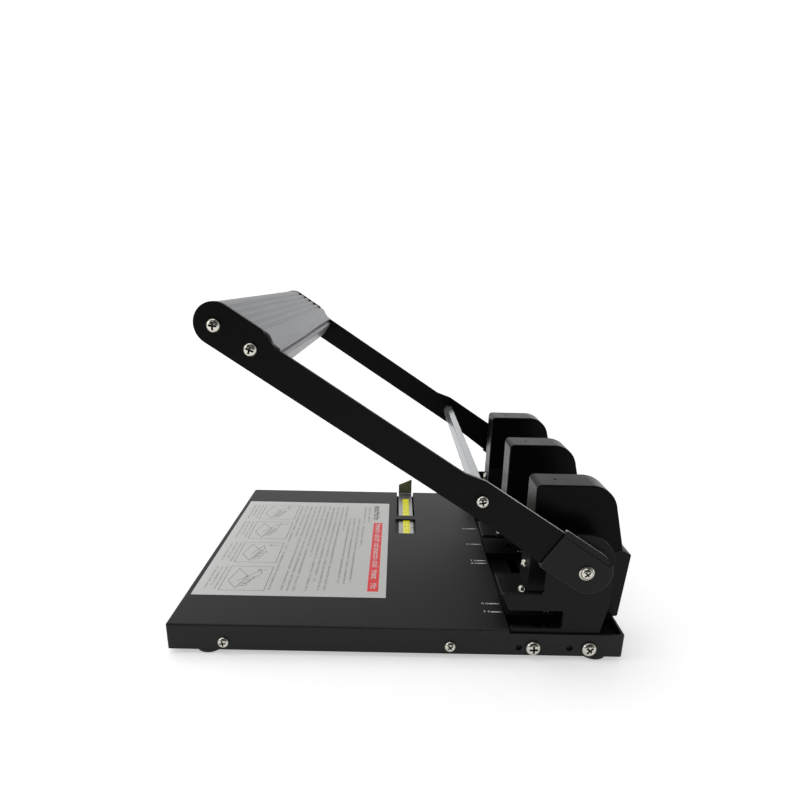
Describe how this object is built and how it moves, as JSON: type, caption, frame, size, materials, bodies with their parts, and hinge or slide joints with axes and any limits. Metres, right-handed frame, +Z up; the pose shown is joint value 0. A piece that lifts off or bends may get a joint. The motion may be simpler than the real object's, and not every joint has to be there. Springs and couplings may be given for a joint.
{
  "type": "three-hole punch",
  "caption": "Heavy-duty lever hole punch: flat black paper table, sliding punch heads on a hexagonal shaft, long ribbed grip between two arms, paper stop ruler and chip tray.",
  "frame": {"origin": "on the floor, under the centre of the bounding box, with the lever raised", "axes": "+X to the right of a user who sits at -Y and faces the punch heads, +Y from the user towards the heads, +Z up"},
  "size_m": [0.3068, 0.3264, 0.2386],
  "materials": {
    "black_paint": "satin black powder coat",
    "black_steel": "black oxide steel, satin",
    "black_plastic": "fine grained black moulding",
    "silver_grip": "silver grey extrusion, satin",
    "bright_steel": "bright turned steel",
    "nickel": "nickel plated",
    "spring_steel": "plain steel, satin",
    "ruler_steel": "brushed strip",
    "rubber": "black rubber"
  },
  "bodies": {
    "base": {"base_shell": "black_paint", "bottom_plate": "black_paint", "bed_plate": "black_steel", "side_plate_left": "black_paint", "side_plate_right": "black_paint", "ruler_guide": "black_steel", "foot_left_front": "rubber", "foot_left_rear": "rubber", "foot_right_front": "rubber", "foot_right_rear": "rubber", "wall_screw_left_front": "nickel", "wall_screw_left_rear": "nickel", "wall_screw_right_front": "nickel", "wall_screw_right_rear": "nickel", "bracket_screw_left_front": "nickel", "bracket_screw_left_rear": "nickel", "bracket_screw_right_front": "nickel", "bracket_screw_right_rear": "nickel", "head_frame_centre": "black_steel", "head_cover_centre": "black_plastic", "column_screw_centre": "nickel", "foot_screw_centre": "nickel", "lock_screw_centre": "nickel", "return_spring_centre": "spring_steel"},
    "lever": {"main_shaft": "bright_steel", "arm_left": "black_paint", "arm_right": "black_paint", "boot_left": "black_plastic", "boot_right": "black_plastic", "tie_bar": "bright_steel", "grip_upper": "silver_grip", "grip_lower": "silver_grip", "tie_screw_left": "nickel", "tie_screw_right": "nickel", "grip_screw_low_left": "nickel", "grip_screw_low_right": "nickel", "grip_screw_high_left": "nickel", "grip_screw_high_right": "nickel", "pivot_screw_left": "nickel", "pivot_screw_right": "nickel"},
    "head_left": {"head_frame_left": "black_steel", "head_cover_left": "black_plastic", "column_screw_left": "nickel", "foot_screw_left": "nickel", "lock_screw_left": "nickel", "return_spring_left": "spring_steel"},
    "head_right": {"head_frame_right": "black_steel", "head_cover_right": "black_plastic", "column_screw_right": "nickel", "foot_screw_right": "nickel", "lock_screw_right": "nickel", "return_spring_right": "spring_steel"},
    "ruler": {"ruler": "ruler_steel"},
    "tray": {"chip_tray": "black_plastic"},
    "rocker_left": {"rocker_left": "spring_steel"},
    "punch_left": {"punch_pin_left": "bright_steel"},
    "rocker_centre": {"rocker_centre": "spring_steel"},
    "punch_centre": {"punch_pin_centre": "bright_steel"},
    "rocker_right": {"rocker_right": "spring_steel"},
    "punch_right": {"punch_pin_right": "bright_steel"}
  },
  "joints": [
    {"name": "lever_press", "type": "hinge", "parent": "base", "child": "lever", "pos_m": [0, 0.12375, 0.0703], "axis": [1, 0, 0], "range_deg": [0, 39.4], "stiffness_Nm_per_rad": 7, "springref_deg": -31.51},
    {"name": "head_left_slide", "type": "slide", "parent": "base", "child": "head_left", "axis": [1, 0, 0], "range_m": [-0.012, 0.068]},
    {"name": "head_right_slide", "type": "slide", "parent": "base", "child": "head_right", "axis": [1, 0, 0], "range_m": [-0.068, 0.012]},
    {"name": "ruler_slide", "type": "slide", "parent": "base", "child": "ruler", "axis": [1, 0, 0], "range_m": [-0.075, 0.068]},
    {"name": "tray_slide", "type": "slide", "parent": "base", "child": "tray", "axis": [0, 1, 0], "range_m": [0, 0.07]},
    {"name": "rocker_left_turn", "type": "hinge", "parent": "head_left", "child": "rocker_left", "pos_m": [0, 0.12375, 0.0703], "axis": [1, 0, 0], "range_deg": [0, 39.4]},
    {"name": "punch_left_stroke", "type": "slide", "parent": "head_left", "child": "punch_left", "axis": [0, 0, -1], "range_m": [0, 0.016], "deforming": ["return_spring_left"]},
    {"name": "rocker_centre_turn", "type": "hinge", "parent": "base", "child": "rocker_centre", "pos_m": [0, 0.12375, 0.0703], "axis": [1, 0, 0], "range_deg": [0, 39.4]},
    {"name": "punch_centre_stroke", "type": "slide", "parent": "base", "child": "punch_centre", "axis": [0, 0, -1], "range_m": [0, 0.016], "deforming": ["return_spring_centre"]},
    {"name": "rocker_right_turn", "type": "hinge", "parent": "head_right", "child": "rocker_right", "pos_m": [0, 0.12375, 0.0703], "axis": [1, 0, 0], "range_deg": [0, 39.4]},
    {"name": "punch_right_stroke", "type": "slide", "parent": "head_right", "child": "punch_right", "axis": [0, 0, -1], "range_m": [0, 0.016], "deforming": ["return_spring_right"]}
  ],
  "couplings": [
    {"joint": "rocker_left_turn", "follows": "lever_press", "ratio": 1},
    {"joint": "punch_left_stroke", "follows": "lever_press", "m_per_rad": 0.02324},
    {"joint": "rocker_centre_turn", "follows": "lever_press", "ratio": 1},
    {"joint": "punch_centre_stroke", "follows": "lever_press", "m_per_rad": 0.02324},
    {"joint": "rocker_right_turn", "follows": "lever_press", "ratio": 1},
    {"joint": "punch_right_stroke", "follows": "lever_press", "m_per_rad": 0.02324}
  ]
}
